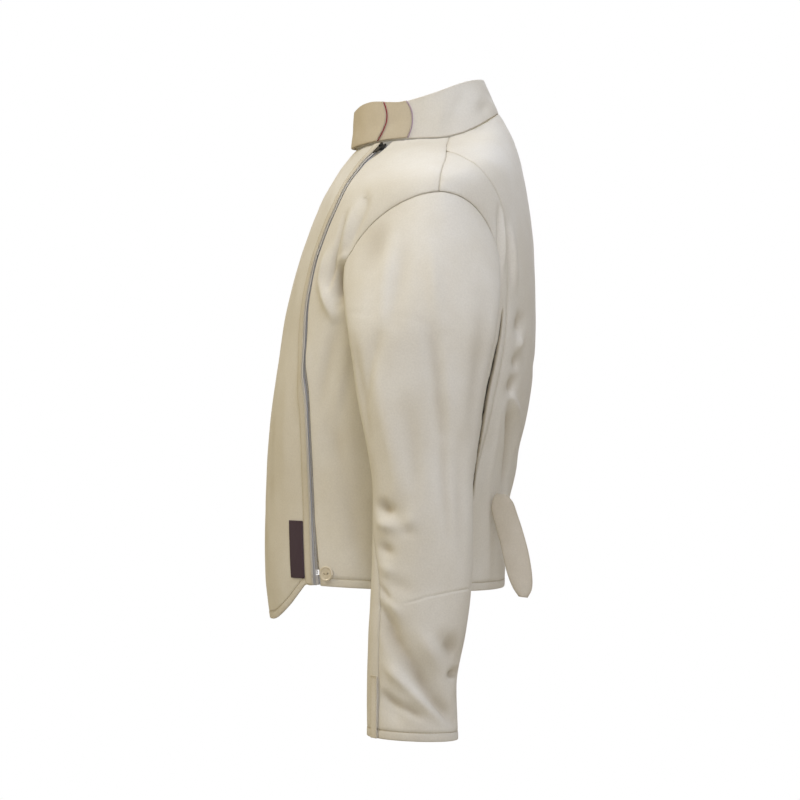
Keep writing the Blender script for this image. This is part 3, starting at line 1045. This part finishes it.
# %% Finish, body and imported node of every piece
FINISHES = {
    "collar_tab_inner": tab_cotton, "collar_tab_outer": tab_cotton, "placket": edging_cotton,
    "zip_tape_right": zip_tape, "zip_tape_left": zip_tape, "zip_chain": nylon, "label": satin_label,
    "cuff_vent_left": edging_cotton, "cuff_vent_right": edging_cotton, "back_strap": strap_cotton,
}
for node_name, piece in pieces.items():
    piece.data.materials.append(FINISHES.get(node_name, white_cotton))
    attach(piece, "jacket")
    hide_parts(node_name)
for piece, finish, slot, on in (
    (red_piping, red_cotton, "tab_cloth", "collar_tab_inner_cloth"),
    (mauve_piping, mauve_cotton, "tab_cloth", "collar_cloth"),
):
    piece.data.materials.append(finish)
    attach(piece, "jacket")
for piece, finish, slot in (
    (hem_stitches, thread, "cloth"), (trim_stitches, thread, "edge_cloth"), (label_stitches, dark_thread, "label"),
    (button_thread, thread, "button"),
):
    piece.data.materials.append(finish)
    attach(piece, "jacket")
for node_name, finish in (("zip_slider", black_paint), ("zip_pull", black_paint), ("zip_box", nylon), ("button", pearl)):
    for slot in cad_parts[node_name].material_slots:
        slot.material = finish

# %% [markdown]
# The stage is a plain pale floor where the wearer would stand, 1.4 m below the shoulders, in front of white paper. The
# room's light is soft, and warmer and dimmer ahead of the jacket. A pair of panels above gives the shoulders and the
# sleeves their bright tops, as in the photograph. A pair at the sides, a warm one in front and a cool one behind keep
# the other surfaces in soft shade.

# %% Floor and light
FLOOR_LEVEL = -1.40
bm = bmesh.new()
bmesh.ops.create_circle(bm, cap_ends=True, segments=96, radius=3.8, matrix=Matrix.Translation((0, 0, FLOOR_LEVEL)))
floor = finished("pale_floor", bm, smooth_faces=False)
floor_finish = mottled("pale_floor_paint", "#D6D2C8", "#D0CCC1", 0.5, 0.0, Roughness=0.7)
floor.data.materials.append(floor_finish)

world = bpy.data.worlds.new("studio")
bpy.context.scene.world = world
world.use_nodes = True
tree = world.node_tree
tree.nodes.clear()
around = add_node(tree, "ShaderNodeTexCoord").outputs["Generated"]
ahead = add_node(tree, "ShaderNodeSeparateXYZ", {"Vector": around}).outputs["Y"]
share = add_node(tree, "ShaderNodeMapRange", {"Value": ahead, "From Min": -0.9, "From Max": 0.7}).outputs["Result"]
room = add_node(tree, "ShaderNodeMix", {"Factor": share, "A": light_of("#B3A06E"), "B": light_of("#A69C8A")}, data_type="RGBA")
room_light = add_node(tree, "ShaderNodeBackground", {"Color": room.outputs["Result"], "Strength": 0.62})
backdrop = add_node(tree, "ShaderNodeBackground", {"Color": (1, 1, 1, 1), "Strength": 1.0})
seen = add_node(tree, "ShaderNodeLightPath").outputs["Is Camera Ray"]
lit = add_node(tree, "ShaderNodeMixShader", {0: seen, 1: room_light.outputs[0], 2: backdrop.outputs[0]})
add_node(tree, "ShaderNodeOutputWorld", {"Surface": lit.outputs[0]})


def light_panel(name, place, towards, size, power, colour):
    """A square soft light that faces a point."""
    data = bpy.data.lights.new(name, "AREA")
    data.shape = "SQUARE"
    data.size = size
    data.energy = power
    data.color = light_of(colour)[:3]
    panel = bpy.data.objects.new(name, data)
    panel.location = place
    panel.rotation_euler = (Vector(towards) - Vector(place)).to_track_quat("-Z", "Y").to_euler()
    bpy.context.scene.collection.objects.link(panel)


MIDDLE = (0.0, -0.04, -0.28)
light_panel("key_panel", (1.20, 0.15, 1.55), MIDDLE, 0.7, 20.0, "#E8EEFF")
light_panel("far_key_panel", (-1.20, 0.15, 1.55), MIDDLE, 0.7, 16.0, "#E8EEFF")
light_panel("camera_side_panel", (2.60, 0.20, -0.20), MIDDLE, 0.9, 11.0, "#F4F4FF")
light_panel("hidden_side_panel", (-2.60, 0.20, -0.20), MIDDLE, 0.9, 10.0, "#F4F4FF")
light_panel("front_panel", (0.20, -1.90, 1.20), MIDDLE, 0.9, 19.0, "#FFF4DC")
light_panel("back_panel", (0.60, 2.30, 0.90), MIDDLE, 1.0, 10.0, "#E6ECFF")
bpy.context.scene.view_settings.view_transform = "Standard"
